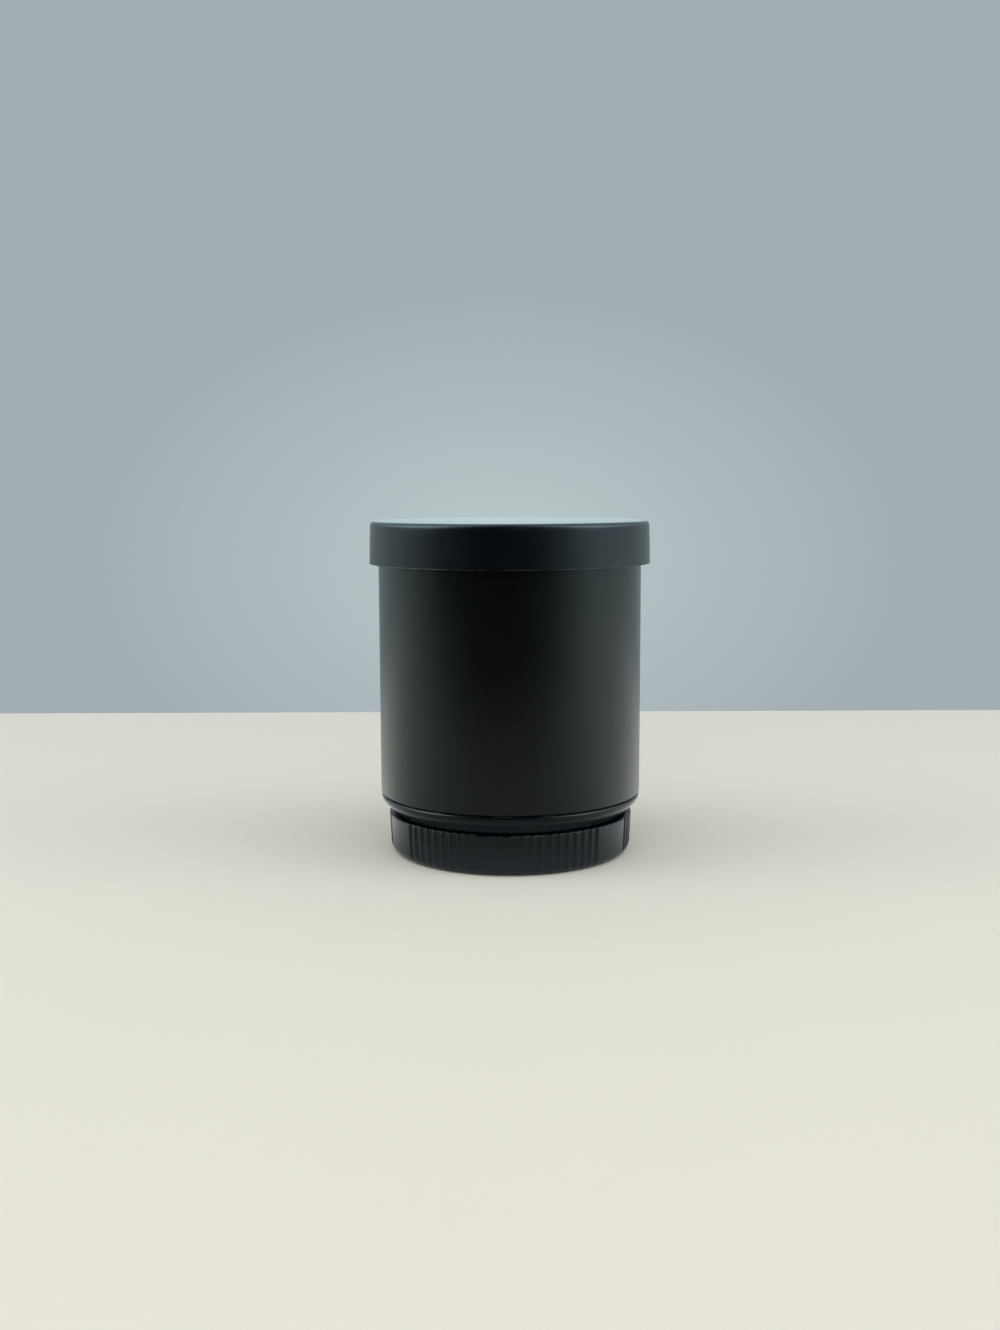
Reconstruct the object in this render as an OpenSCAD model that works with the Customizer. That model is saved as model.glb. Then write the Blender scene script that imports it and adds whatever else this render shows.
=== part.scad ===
// Screw-mount 2x camera teleconverter with both of its dust caps, standing on the rear cap.
// Sizes are in millimetres. The optical axis is Z, the lens side is up and the camera side is down.

/* [Barrel] */
// Outer diameter of the barrel
barrel_d = 51; // [48:0.5:64]
// Length of the barrel from its rear seam to its front face
barrel_l = 50.6; // [46:0.2:64]
// Wall around the front ring
front_wall = 1.9; // [1.4:0.1:2.4]
// Wall around the cell's lock ring
lock_wall = 2.9; // [2.5:0.1:3.6]
// Wall along the middle of the barrel
middle_wall = 3.3; // [2.9:0.1:4.2]
// Wall around the rear mount's spigot
rear_wall = 2.5; // [1.8:0.1:2.8]
// Thickness of the web that carries the lens cell
web_t = 3; // [1.5:0.1:6]
// Chamfer on the barrel's front edge
barrel_chamfer = 0.3; // [0.1:0.05:0.6]
// Inset of the barrel's eased rear edge
rear_ease_in = 0.1; // [0.05:0.05:0.5]
// Height of the barrel's eased rear edge
rear_ease_h = 0.3; // [0.1:0.1:1.5]

/* [Thread mount] */
// Nominal diameter of the mount thread at both ends
thread_d = 42; // [34:0.25:43]
// Pitch of the mount thread
thread_pitch = 0.75; // [0.5:0.05:1]
// Depth of the front female thread
front_thread_l = 6; // [4:0.1:6.8]
// Height of the front ring that holds the female thread
front_ring_h = 7; // [6.9:0.1:9]
// Length of the rear male thread
rear_thread_l = 5.4; // [3:0.1:6]
// Amount by which the male thread is under its nominal radius
male_allowance = 0.05; // [0.02:0.01:0.15]
// Radial depth of the run-out groove behind the male thread
runout_depth = 0.6; // [0.3:0.05:1]
// Width of the run-out groove
runout_w = 0.8; // [0.4:0.1:1.5]
// Lead-in chamfer on the threads
thread_chamfer = 0.5; // [0.2:0.05:0.8]

/* [Rear mount] */
// Width of the seating face outside the male thread
shoulder_w = 1.9; // [1:0.1:2]
// Height of the bevel above the seating face
bevel_h = 2.35; // [1:0.05:4]
// Height from the bevel to the barrel's seam
band_h = 1.45; // [0.8:0.05:4]
// Inset of the band at its lower edge
band_inset_low = 0.25; // [0.15:0.05:0.5]
// Inset of the band at its upper edge
band_inset_top = 0.1; // [0.05:0.05:0.15]
// Rounding of the band's upper edge
band_round = 0.3; // [0.1:0.05:0.4]
// Depth of the groove that marks the seam
seam_groove = 0.6; // [0.45:0.05:1.2]
// Height of the groove that marks the seam
seam_groove_h = 0.25; // [0.1:0.05:0.35]
// Length of the spigot inside the barrel
spigot_l = 5.5; // [3:0.1:8]
// Wall of the mount inside its male thread
rear_thread_wall = 2.45; // [1.5:0.05:5]

/* [Lens cell] */
// Diameter of the front element and of the cemented pair
lens_d = 34; // [28:0.5:36]
// Amount by which the rear element is smaller in radius
rear_lens_step = 1.5; // [1:0.1:3]
// Wall of the cell around the front element
cell_wall = 1.9; // [1.5:0.1:2.3]
// Thickness of the cell's flange
cell_flange_t = 1.2; // [0.8:0.1:2]
// Thickness of the shim under the flange
shim_t = 0.2; // [0.1:0.05:0.5]
// Thickness of the cell's lock ring
lock_ring_t = 1.5; // [1:0.1:2]
// Width of the annulus on which each element seats
seat_w = 1.4; // [1:0.1:2]
// Thickness of the front retaining ring
front_retainer_t = 1.6; // [1:0.1:1.8]
// Thickness of the rear retaining ring
rear_retainer_t = 1.8; // [1:0.1:2.2]
// Radial height of the retaining rings' threads
retainer_thread = 0.5; // [0.3:0.05:0.8]
// Thickness of the light-cut washer in front of the cemented pair
stop_t = 0.3; // [0.1:0.05:0.5]

/* [Glass] */
// Depth of the front element's vertex behind the front face
front_depth = 7.4; // [7.2:0.1:10]
// Front element: radius of its convex front
e1_front_r = 120; // [60:1:400]
// Front element: radius of its hollow rear
e1_rear_r = 35.4; // [26:0.1:80]
// Front element: thickness on the axis
e1_t = 2.4; // [1.8:0.1:4]
// Air space behind the front element
air_1 = 5.5; // [4.5:0.1:8]
// Cemented pair: radius of its convex front
e2_front_r = 70; // [50:1:200]
// Cemented pair: radius of the cemented face
cement_r = 36; // [30:0.5:80]
// Cemented pair: thickness of its first element on the axis
e2_t = 7.6; // [7:0.1:10]
// Cemented pair: radius of its hollow rear
e3_rear_r = 75; // [40:1:200]
// Cemented pair: thickness of its second element on the axis
e3_t = 2.2; // [1.5:0.1:4]
// Air space behind the cemented pair
air_2 = 3.4; // [3:0.1:6]
// Rear element: radius of its hollow front
e4_front_r = 120; // [80:1:400]
// Rear element: radius of its convex rear
e4_rear_r = 48; // [40:0.5:120]
// Rear element: thickness on the axis
e4_t = 4; // [4:0.1:6]

/* [Rear baffle] */
// Wall of the light baffle tube at its rear
baffle_wall = 1.2; // [0.8:0.1:2]
// Thickness of the baffle's flange
baffle_flange_t = 0.5; // [0.3:0.1:1.2]
// Width by which the baffle's mouth laps the cell's rear face
baffle_lap = 0.5; // [0.2:0.1:1]
// Wall of the baffle at its front end
baffle_front_wall = 1; // [0.6:0.1:2]

/* [Front cap] */
// Height of the push-on front cap
front_cap_h = 8.2; // [5:0.1:14]
// Thickness of the front cap's top
front_cap_top_t = 2; // [1:0.1:3]
// Wall of the front cap's skirt at its edge
front_cap_wall = 1.48; // [0.9:0.01:2.5]
// Inward draft of the skirt from its edge to its top
front_cap_draft = 0.25; // [0:0.05:0.6]
// Rounding of the front cap's top edge
front_cap_round = 1; // [0.5:0.1:1.9]
// Gap between the skirt and the barrel
front_cap_clearance = 0.3; // [0.2:0.05:0.6]
// Gap between the skirt's grip ribs and the barrel
rib_clearance = 0.1; // [0.05:0.01:0.18]
// Number of grip ribs inside the skirt
rib_count = 6; // [3:1:16]
// Radius of a grip rib
rib_r = 0.5; // [0.3:0.05:0.8]
// Gap between the front cap's top and the barrel
front_cap_gap = 0.2; // [0.1:0.05:0.5]

/* [Rear cap] */
// Height of the screw-on rear cap
rear_cap_h = 7.9; // [7.2:0.1:14]
// Wall of the rear cap at its rim
rear_cap_wall = 2.75; // [2:0.05:4]
// Inward draft of the wall from the rim to the floor
rear_cap_draft = 0.25; // [0:0.05:0.5]
// Thickness of the rear cap's floor
rear_cap_floor = 1.6; // [1:0.1:2]
// Rounding of the rear cap's bottom edge
rear_cap_round = 2.2; // [0.4:0.1:2.6]
// Rounding of the rim's outer edge
rim_round = 0.3; // [0.2:0.1:1.2]
// Depth of the dished middle of the bottom
dish_depth = 0.3; // [0.1:0.05:0.5]
// Width of the foot ring around the dished middle
foot_w = 3.5; // [2.5:0.1:8]
// Gap between the cap's rim and the mount's seating face
rim_gap = 0.3; // [0.2:0.05:0.5]
// Gap between the cap's bore and the male thread
cap_thread_gap = 0.2; // [0.15:0.01:0.4]
// Number of groove groups around the grip
grip_groups = 6; // [3:1:8]
// Number of grooves in a group
grip_grooves = 9; // [1:1:9]
// Number of groove pitches from one group to the next
grip_steps = 14; // [12:1:24]
// Radius of the round cutter of a groove
groove_r = 0.72; // [0.4:0.02:0.8]
// Depth of a groove
groove_depth = 0.38; // [0.1:0.01:0.5]
// Angle of the middle of the first group
grip_turn = -65.3; // [-180:0.1:180]

/* [Fasteners and fits] */
// Diameter of the front ring's grub screws
grub_d = 2; // [1.4:0.1:2.5]
// Number of grub screws
grub_count = 3; // [2:1:6]
// Depth of the grub screws behind the front face
grub_drop = 3.6; // [2.5:0.1:4.5]
// Sink of a grub screw below the barrel's surface
grub_sink = 0.2; // [0.1:0.05:0.5]
// Depth of the groove in the ring that the grub screws press on
grub_groove = 0.45; // [0.2:0.05:0.8]
// Width of a spanner slot
slot_w = 2.2; // [1:0.1:3]
// Depth of a spanner slot
slot_depth = 0.8; // [0.4:0.1:0.9]
// Radial gap of the pieces that screw or push together for good
fit_gap = 0.05; // [0.02:0.01:0.08]
// Gap under glass at its seats
seat_gap = 0.02; // [0.01:0.01:0.05]

/* [Hidden] */
$fn = 128;
sphere_sides = 240;
over = 1;

// Height that a sphere loses from its pole to the circle of radius r
function sag(ball_r, r) = ball_r - sqrt(ball_r * ball_r - r * r);

// Heights of the rear cap, the rear mount and the barrel
register_z = rear_cap_h + rim_gap;
thread_end_z = register_z - rear_thread_l;
bevel_top_z = register_z + bevel_h;
seam_z = bevel_top_z + band_h;
band_top_z = seam_z - seam_groove_h;
spigot_top_z = seam_z + spigot_l;
rear_step_z = spigot_top_z + baffle_flange_t;
face_z = seam_z + barrel_l;
ring_seat_z = face_z - front_ring_h;
front_thread_z = face_z - front_thread_l;
grub_z = face_z - grub_drop;
cap_under_z = face_z + front_cap_gap;
cap_top_z = cap_under_z + front_cap_top_t;
cap_edge_z = cap_top_z - front_cap_h;

// Heights of the cell's seat, from the front ring down to the web
lock_top_z = ring_seat_z - fit_gap;
flange_top_z = lock_top_z - lock_ring_t;
flange_z = flange_top_z - cell_flange_t;
web_top_z = flange_z - shim_t;
web_z = web_top_z - web_t;

// Radii of the barrel and of what fits in it
barrel_r = barrel_d / 2;
ring_seat_r = barrel_r - front_wall;
lock_seat_r = barrel_r - lock_wall;
middle_r = barrel_r - middle_wall;
rear_seat_r = barrel_r - rear_wall;
ring_r = ring_seat_r - fit_gap;
lock_r = lock_seat_r - fit_gap;
spigot_r = rear_seat_r - fit_gap;
minor_r = (thread_d - 1.0825 * thread_pitch) / 2;
male_r = thread_d / 2 - male_allowance;
shoulder_r = thread_d / 2 + shoulder_w;
rear_bore_r = male_r - rear_thread_wall;

// Radii of the cell and its glass
lens_r = lens_d / 2;
rear_lens_r = lens_r - rear_lens_step;
cell_bore_r = lens_r + fit_gap;
cell_rear_bore_r = rear_lens_r + fit_gap;
cell_r = cell_bore_r + cell_wall;
web_r = cell_r + fit_gap;
ring_relief_r = max(thread_d / 2 + fit_gap, web_r);
clear_r = lens_r - seat_w;
rear_clear_r = rear_lens_r - seat_w;
front_retainer_r = cell_bore_r + retainer_thread;
rear_retainer_r = cell_rear_bore_r + retainer_thread;

// Heights of the glass, from the front vertex down
e1_z = face_z - front_depth;
e1_rear_z = e1_z - e1_t;
e2_z = e1_rear_z - air_1;
e2_rear_z = e2_z - e2_t;
e3_z = e2_rear_z - seat_gap;
e3_rear_z = e3_z - e3_t;
e4_z = e3_rear_z - air_2;
e4_rear_z = e4_z - e4_t;

// Heights of the seats that hold the glass
e1_seat_z = e1_z - sag(e1_front_r, clear_r) + seat_gap;
e1_rear_seat_z = e1_rear_z - sag(e1_rear_r, clear_r) - seat_gap;
e2_seat_z = e2_z - sag(e2_front_r, clear_r) + seat_gap;
pair_seat_z = e3_rear_z - sag(e3_rear_r, clear_r) - seat_gap;
e4_seat_z = e4_z + sag(e4_front_r, rear_clear_r) + seat_gap;
e4_rear_seat_z = e4_rear_z + sag(e4_rear_r, rear_clear_r) - seat_gap;
retainer_top_z = e1_seat_z + front_retainer_t;
cell_top_z = retainer_top_z + slot_depth / 4;
retainer_rear_z = e4_rear_seat_z - rear_retainer_t;
cell_rear_z = retainer_rear_z - slot_depth / 4;
baffle_top_z = cell_rear_z - rim_gap;

// Radii of the caps
cap_bore_r = barrel_r + front_cap_clearance;
cap_edge_r = cap_bore_r + front_cap_wall;
cap_shoulder_r = cap_edge_r - front_cap_draft;
rib_reach = front_cap_clearance - rib_clearance;
rear_cap_bore_r = male_r + cap_thread_gap;
rim_r = rear_cap_bore_r + rear_cap_wall;
floor_r = rim_r - rear_cap_draft;
foot_r = floor_r - rear_cap_round - foot_w;
cap_edge_break = 0.2;

// Finishes
anodised = "#1c1d20";
satin_black = "#222326";
soft_black = "#24262b";
matt_black = "#121214";
steel = "#6d7076";
brass = "#a98f55";
glass = "#b9d3cfaa";

// A solid turned from the outline of its half section
module turned(outline) {
    rotate_extrude() polygon(outline);
}

// A quarter disc that rounds a section's outer corner, upwards for way 1 and downwards for way -1
module round_corner(r, z, corner_r, way) {
    translate([r, z]) intersection() {
        circle(corner_r);
        mirror([0, way < 0 ? 1 : 0]) square(corner_r + over);
    }
}

// Two opposite spanner slots, cut down from height z between two radii
module spanner_slots(inner_r, outer_r, z) {
    for (turn = [0, 180])
        rotate(turn)
            translate([inner_r, -slot_w / 2, z - slot_depth])
                cube([outer_r - inner_r, slot_w, slot_depth + over]);
}

// A ball that shapes the glass, with its pole at height z and its middle below or above it
module ball_below(z, ball_r) {
    translate([0, 0, z - ball_r]) sphere(ball_r, $fn = sphere_sides);
}
module ball_above(z, ball_r) {
    translate([0, 0, z + ball_r]) sphere(ball_r, $fn = sphere_sides);
}

// A plain glass blank between two heights
module blank(r, low_z, high_z) {
    translate([0, 0, low_z]) cylinder(r = r, h = high_z - low_z);
}

// Screw-on cap: drafted wall, rounded foot, dished bottom, groups of grip grooves
module rear_cap() {
    color(soft_black) difference() {
        rotate_extrude() union() {
            polygon([[0, 0], [floor_r - rear_cap_round, 0], [floor_r - rear_cap_round, rear_cap_round],
                [floor_r, rear_cap_round], [rim_r, rear_cap_h - rim_round],
                [rim_r - rim_round, rear_cap_h - rim_round], [rim_r - rim_round, rear_cap_h], [0, rear_cap_h]]);
            round_corner(floor_r - rear_cap_round, rear_cap_round, rear_cap_round, -1);
            round_corner(rim_r - rim_round, rear_cap_h - rim_round, rim_round, 1);
        }
        turned([[0, rear_cap_floor], [rear_cap_bore_r, rear_cap_floor],
            [rear_cap_bore_r, rear_cap_h - cap_edge_break],
            [rear_cap_bore_r + cap_edge_break, rear_cap_h], [rear_cap_bore_r + cap_edge_break, rear_cap_h + over],
            [0, rear_cap_h + over]]);
        translate([0, 0, -over]) cylinder(r = foot_r, h = over + dish_depth);
        grip_cutters();
    }
}

// Round cutters for the grip, leaning with the wall's draft
module grip_cutters() {
    pitch = 360 / grip_groups / grip_steps;
    lean = atan(rear_cap_draft / (rear_cap_h - rear_cap_round));
    for (group = [0 : grip_groups - 1])
        for (i = [0 : grip_grooves - 1])
            rotate(grip_turn + group * 360 / grip_groups + (i - (grip_grooves - 1) / 2) * pitch)
                translate([floor_r - groove_depth + groove_r, 0, rear_cap_round])
                    rotate([0, lean, 0])
                        translate([0, 0, -rear_cap_round - over])
                            cylinder(r = groove_r, h = rear_cap_h + 2 * over, $fn = 32);
}

// Rear mount: male thread blank, seating face, bevel, band, seam groove and the spigot inside the barrel
module rear_mount() {
    band_r = barrel_r - band_inset_top;
    color(anodised) rotate_extrude() union() {
        polygon([
            [rear_bore_r, thread_end_z],
            [male_r - thread_chamfer, thread_end_z], [male_r, thread_end_z + thread_chamfer],
            [male_r, register_z - runout_w], [male_r - runout_depth, register_z - runout_w],
            [male_r - runout_depth, register_z], [shoulder_r, register_z],
            [barrel_r - band_inset_low, bevel_top_z], [band_r, band_top_z - band_round],
            [band_r - band_round, band_top_z - band_round], [band_r - band_round, band_top_z],
            [band_r - seam_groove, band_top_z], [band_r - seam_groove, seam_z],
            [spigot_r, seam_z], [spigot_r, spigot_top_z], [rear_bore_r, spigot_top_z]]);
        round_corner(band_r - band_round, band_top_z - band_round, band_round, 1);
    }
}

// Light baffle: a tapered tube whose flange is trapped between the spigot and the barrel's step
module rear_baffle() {
    front_r = cell_r - cell_wall / 2 - baffle_lap;
    color(matt_black) turned([
        [rear_bore_r, spigot_top_z], [spigot_r, spigot_top_z], [spigot_r, rear_step_z],
        [rear_bore_r + baffle_wall, rear_step_z], [front_r + baffle_front_wall, baffle_top_z],
        [front_r, baffle_top_z]]);
}

// Barrel: one turned tube with seats for the front ring, the cell and the rear mount
module barrel() {
    web_cone = middle_r - web_r;
    color(anodised) difference() {
        turned([
            [rear_seat_r, seam_z], [barrel_r - rear_ease_in, seam_z], [barrel_r, seam_z + rear_ease_h],
            [barrel_r, face_z - barrel_chamfer], [barrel_r - barrel_chamfer, face_z], [ring_seat_r, face_z],
            [ring_seat_r, ring_seat_z], [lock_seat_r, ring_seat_z], [lock_seat_r, web_top_z],
            [web_r, web_top_z], [web_r, web_z], [middle_r, web_z - web_cone],
            [middle_r, rear_step_z], [rear_seat_r, rear_step_z]]);
        grub_places() cylinder(d = grub_d + 2 * fit_gap, h = front_wall + 2 * over, $fn = 32);
    }
}

// Places a child at each grub screw, pointing outwards from inside the front ring's seat
module grub_places() {
    for (i = [0 : grub_count - 1])
        rotate(90 + i * 360 / grub_count)
            translate([ring_seat_r - over, 0, grub_z])
                rotate([0, 90, 0])
                    children();
}

// Lens cell: a flanged tube with a thin web between the cemented pair and the rear element
module lens_cell() {
    color(satin_black) turned([
        [cell_rear_bore_r, e4_seat_z], [clear_r - seat_w / 2, e4_seat_z],
        [clear_r - seat_w / 2, pair_seat_z], [cell_bore_r, pair_seat_z],
        [cell_bore_r, e1_seat_z], [front_retainer_r + fit_gap, e1_seat_z],
        [front_retainer_r + fit_gap, cell_top_z], [cell_r, cell_top_z],
        [cell_r, flange_top_z], [lock_r, flange_top_z], [lock_r, flange_z], [cell_r, flange_z],
        [cell_r, cell_rear_z + cell_wall / 2], [cell_r - cell_wall / 2, cell_rear_z],
        [rear_retainer_r + fit_gap, cell_rear_z], [rear_retainer_r + fit_gap, e4_rear_seat_z],
        [cell_rear_bore_r, e4_rear_seat_z]]);
}

// Shim that sets the cell's distance
module cell_shim() {
    color(brass) turned([[web_r, web_top_z], [lock_r, web_top_z], [lock_r, flange_z], [web_r, flange_z]]);
}

// Ring that locks the cell's flange against the web
module cell_lock_ring() {
    color(satin_black) difference() {
        turned([[web_r, flange_top_z], [lock_r, flange_top_z], [lock_r, lock_top_z], [web_r, lock_top_z]]);
        spanner_slots(web_r - over, lock_r + over, lock_top_z);
    }
}

// Ring that holds the front element, with a sloped mouth
module front_retaining_ring() {
    color(matt_black) difference() {
        turned([[clear_r, e1_seat_z], [front_retainer_r, e1_seat_z], [front_retainer_r, retainer_top_z],
            [clear_r + seat_w / 2, retainer_top_z], [clear_r, e1_seat_z + front_retainer_t / 2]]);
        spanner_slots(clear_r - over, front_retainer_r + over, retainer_top_z);
    }
}

// Front element: negative meniscus
module front_element() {
    color(glass) difference() {
        intersection() {
            blank(lens_r, e1_rear_seat_z + seat_gap, e1_z + over);
            ball_below(e1_z, e1_front_r);
        }
        ball_above(e1_rear_z - 2 * e1_rear_r, e1_rear_r);
    }
}

// Spacer between the front element and the light stop
module lens_spacer() {
    color(satin_black) turned([[clear_r, e2_seat_z + stop_t], [lens_r, e2_seat_z + stop_t],
        [lens_r, e1_rear_seat_z], [clear_r, e1_rear_seat_z]]);
}

// Light stop: a thin washer on the cemented pair
module light_stop() {
    color(matt_black) turned([[clear_r, e2_seat_z], [lens_r, e2_seat_z],
        [lens_r, e2_seat_z + stop_t], [clear_r, e2_seat_z + stop_t]]);
}

// Cemented pair, first element: biconvex
module pair_front_element() {
    color(glass) intersection() {
        blank(lens_r, e2_rear_z - over, e2_z + over);
        ball_below(e2_z, e2_front_r);
        ball_above(e2_rear_z, cement_r);
    }
}

// Cemented pair, second element: biconcave
module pair_rear_element() {
    color(glass) difference() {
        blank(lens_r, pair_seat_z + seat_gap, e3_z + sag(cement_r, lens_r));
        ball_above(e3_z, cement_r);
        ball_above(e3_rear_z - 2 * e3_rear_r, e3_rear_r);
    }
}

// Rear element: positive meniscus
module rear_element() {
    color(glass) difference() {
        intersection() {
            blank(rear_lens_r, e4_rear_z - over, e4_seat_z - seat_gap);
            ball_above(e4_rear_z, e4_rear_r);
        }
        ball_above(e4_z, e4_front_r);
    }
}

// Ring that holds the rear element
module rear_retaining_ring() {
    color(matt_black) difference() {
        turned([[rear_clear_r, e4_rear_seat_z - rear_retainer_t / 2], [rear_clear_r + seat_w / 2, retainer_rear_z],
            [rear_retainer_r, retainer_rear_z], [rear_retainer_r, e4_rear_seat_z], [rear_clear_r, e4_rear_seat_z]]);
        mirror([0, 0, 1]) spanner_slots(rear_clear_r - over, rear_retainer_r + over, -retainer_rear_z);
    }
}

// Front ring with the female thread's bore, a groove for the grub screws and spanner slots
module front_mount_ring() {
    color(satin_black) difference() {
        turned([
            [minor_r, front_thread_z], [minor_r, face_z - thread_chamfer], [minor_r + thread_chamfer, face_z],
            [ring_r - barrel_chamfer, face_z], [ring_r, face_z - barrel_chamfer],
            [ring_r, grub_z + grub_d / 2 + grub_groove], [ring_r - grub_groove, grub_z + grub_d / 2],
            [ring_r - grub_groove, grub_z - grub_d / 2], [ring_r, grub_z - grub_d / 2 - grub_groove],
            [ring_r, ring_seat_z], [ring_relief_r, ring_seat_z], [ring_relief_r, front_thread_z]]);
        spanner_slots(minor_r + 2 * thread_chamfer, ring_r + over, face_z);
    }
}

// Grub screws through the barrel's wall
module front_ring_screws() {
    inner_r = ring_r - grub_groove + fit_gap;
    outer_r = barrel_r - grub_sink;
    color(steel) grub_places()
        translate([0, 0, inner_r - ring_seat_r + over])
            cylinder(d = grub_d, h = outer_r - inner_r, $fn = 32);
}

// Push-on cap: drafted skirt, rounded top edge, grip ribs inside
module front_cap() {
    color(soft_black) union() {
        difference() {
            rotate_extrude() union() {
                polygon([[0, cap_edge_z], [cap_edge_r - cap_edge_break, cap_edge_z],
                    [cap_edge_r, cap_edge_z + cap_edge_break], [cap_shoulder_r, cap_top_z - front_cap_round],
                    [cap_shoulder_r - front_cap_round, cap_top_z - front_cap_round],
                    [cap_shoulder_r - front_cap_round, cap_top_z], [0, cap_top_z]]);
                round_corner(cap_shoulder_r - front_cap_round, cap_top_z - front_cap_round, front_cap_round, 1);
            }
            translate([0, 0, cap_edge_z - over]) cylinder(r = cap_bore_r, h = cap_under_z - cap_edge_z + over);
        }
        for (i = [0 : rib_count - 1])
            rotate(i * 360 / rib_count)
                translate([cap_bore_r - rib_reach + rib_r, 0, cap_edge_z + 2 * rib_r])
                    cylinder(r = rib_r, h = cap_under_z - cap_edge_z - 2 * rib_r, $fn = 32);
    }
}

rear_cap();
rear_mount();
rear_baffle();
barrel();
lens_cell();
cell_shim();
cell_lock_ring();
front_retaining_ring();
front_element();
lens_spacer();
light_stop();
pair_front_element();
pair_rear_element();
rear_element();
rear_retaining_ring();
front_mount_ring();
front_ring_screws();
front_cap();
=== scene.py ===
import math
import bmesh
import bpy
from mathutils import Matrix, Vector, noise


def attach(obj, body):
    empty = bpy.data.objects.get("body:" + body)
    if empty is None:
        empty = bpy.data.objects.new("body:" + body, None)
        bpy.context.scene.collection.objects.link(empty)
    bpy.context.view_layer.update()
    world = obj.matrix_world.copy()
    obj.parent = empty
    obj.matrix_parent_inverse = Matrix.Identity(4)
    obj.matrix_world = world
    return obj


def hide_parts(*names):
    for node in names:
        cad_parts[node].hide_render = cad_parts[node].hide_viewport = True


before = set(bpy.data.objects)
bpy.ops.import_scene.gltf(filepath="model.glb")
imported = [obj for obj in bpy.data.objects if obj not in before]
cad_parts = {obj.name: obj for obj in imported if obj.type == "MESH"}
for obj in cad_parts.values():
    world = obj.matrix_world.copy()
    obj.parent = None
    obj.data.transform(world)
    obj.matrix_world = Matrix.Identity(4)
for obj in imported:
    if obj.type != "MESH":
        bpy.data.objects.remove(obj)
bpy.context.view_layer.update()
print("frame loaded with", len(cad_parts), "nodes")

mm = 0.001
fullTurn = 2 * math.pi
halfTurn = 180  # degrees
toolOver = 1  # cutters run past a face
rimReach = 0.1  # open rims are looked for this far from their height
facing = 0.9  # a face looks along an axis from here on
softenAngle = 28  # degrees
seamTolerance = 0.000001


# small helpers for working by hand in edit mode
def deselectAll():
    if bpy.context.object and bpy.context.object.mode != "OBJECT":
        bpy.ops.object.mode_set(mode="OBJECT")
    bpy.ops.object.select_all(action="DESELECT")


def pickOnly(piece):
    deselectAll()
    piece.select_set(True)
    bpy.context.view_layer.objects.active = piece


def editPiece(piece, mode="VERT"):
    pickOnly(piece)
    bpy.ops.object.mode_set(mode="EDIT")
    bpy.ops.mesh.select_mode(type=mode)
    bpy.ops.mesh.select_all(action="DESELECT")
    return bmesh.from_edit_mesh(piece.data)


def applyModifiers(piece):
    pickOnly(piece)
    for modifier in list(piece.modifiers):
        bpy.ops.object.modifier_apply(modifier=modifier.name)


# a section is a list of (radius, height) in millimetres, drawn by extruding one vertex
def drawSection(name, points):
    deselectAll()
    bpy.ops.mesh.primitive_plane_add(size=mm)
    piece = bpy.context.object
    piece.name = piece.data.name = name
    bpy.ops.object.mode_set(mode="EDIT")
    bpy.ops.mesh.select_mode(type="VERT")
    bpy.ops.mesh.select_all(action="SELECT")
    bpy.ops.mesh.merge(type="CENTER")
    bpy.ops.transform.translate(value=(points[0][0] * mm, 0, points[0][1] * mm))
    for (r, z), (nextR, nextZ) in zip(points, points[1:]):
        move = ((nextR - r) * mm, 0, (nextZ - z) * mm)
        bpy.ops.mesh.extrude_vertices_move(TRANSFORM_OT_translate={"value": move})
    bpy.ops.object.mode_set(mode="OBJECT")
    return piece


def turnPiece(name, points, steps=192):
    piece = drawSection(name, points)
    editPiece(piece)
    bpy.ops.mesh.select_all(action="SELECT")
    bpy.ops.mesh.spin(steps=steps, angle=fullTurn, center=(0, 0, 0), axis=(0, 0, 1))
    mergeDoubles(piece)
    return piece


def mergeDoubles(piece):
    editPiece(piece)
    bpy.ops.mesh.select_all(action="SELECT")
    bpy.ops.mesh.remove_doubles(threshold=seamTolerance)
    bpy.ops.mesh.normals_make_consistent(inside=False)
    bpy.ops.object.mode_set(mode="OBJECT")


def closed(points):
    return points + points[:1]


def arc(r, z, radius, start, end, steps):
    turns = [math.radians(start + (end - start) * i / steps) for i in range(steps + 1)]
    return [(r + radius * math.cos(t), z + radius * math.sin(t)) for t in turns]


def softenEdges(piece, width, segments=2):
    bevel = piece.modifiers.new("soften", "BEVEL")
    bevel.width = width * mm
    bevel.segments = segments
    bevel.limit_method = "ANGLE"
    bevel.angle_limit = math.radians(softenAngle)
    applyModifiers(piece)


def combine(piece, tool, operation):
    boolean = piece.modifiers.new("combine", "BOOLEAN")
    boolean.object = tool
    boolean.operation = operation
    boolean.solver = "EXACT"
    applyModifiers(piece)
    bpy.data.objects.remove(tool, do_unlink=True)
    editPiece(piece)
    bpy.ops.mesh.select_all(action="SELECT")
    bpy.ops.mesh.dissolve_degenerate(threshold=2 * seamTolerance)
    bpy.ops.object.mode_set(mode="OBJECT")


def joinPieces(pieces):
    pickOnly(pieces[0])
    for piece in pieces[1:]:
        piece.select_set(True)
    bpy.ops.object.join()
    return pieces[0]


def finishPiece(piece, body, node, finish, angle=32):
    pickOnly(piece)
    bpy.ops.object.shade_smooth_by_angle(angle=math.radians(angle))
    piece.data.materials.clear()
    piece.data.materials.append(finish)
    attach(piece, body)
    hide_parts(node)
    print("made", piece.name, len(piece.data.polygons), "faces")


def addRod(name, sides, r, length, place, lying=True):
    deselectAll()
    turn = math.radians(90) if lying else 0
    bpy.ops.mesh.primitive_cylinder_add(vertices=sides, radius=r * mm, depth=length * mm,
                                        location=[c * mm for c in place], rotation=(0, turn, 0))
    rod = bpy.context.object
    rod.name = name
    return rod


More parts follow.
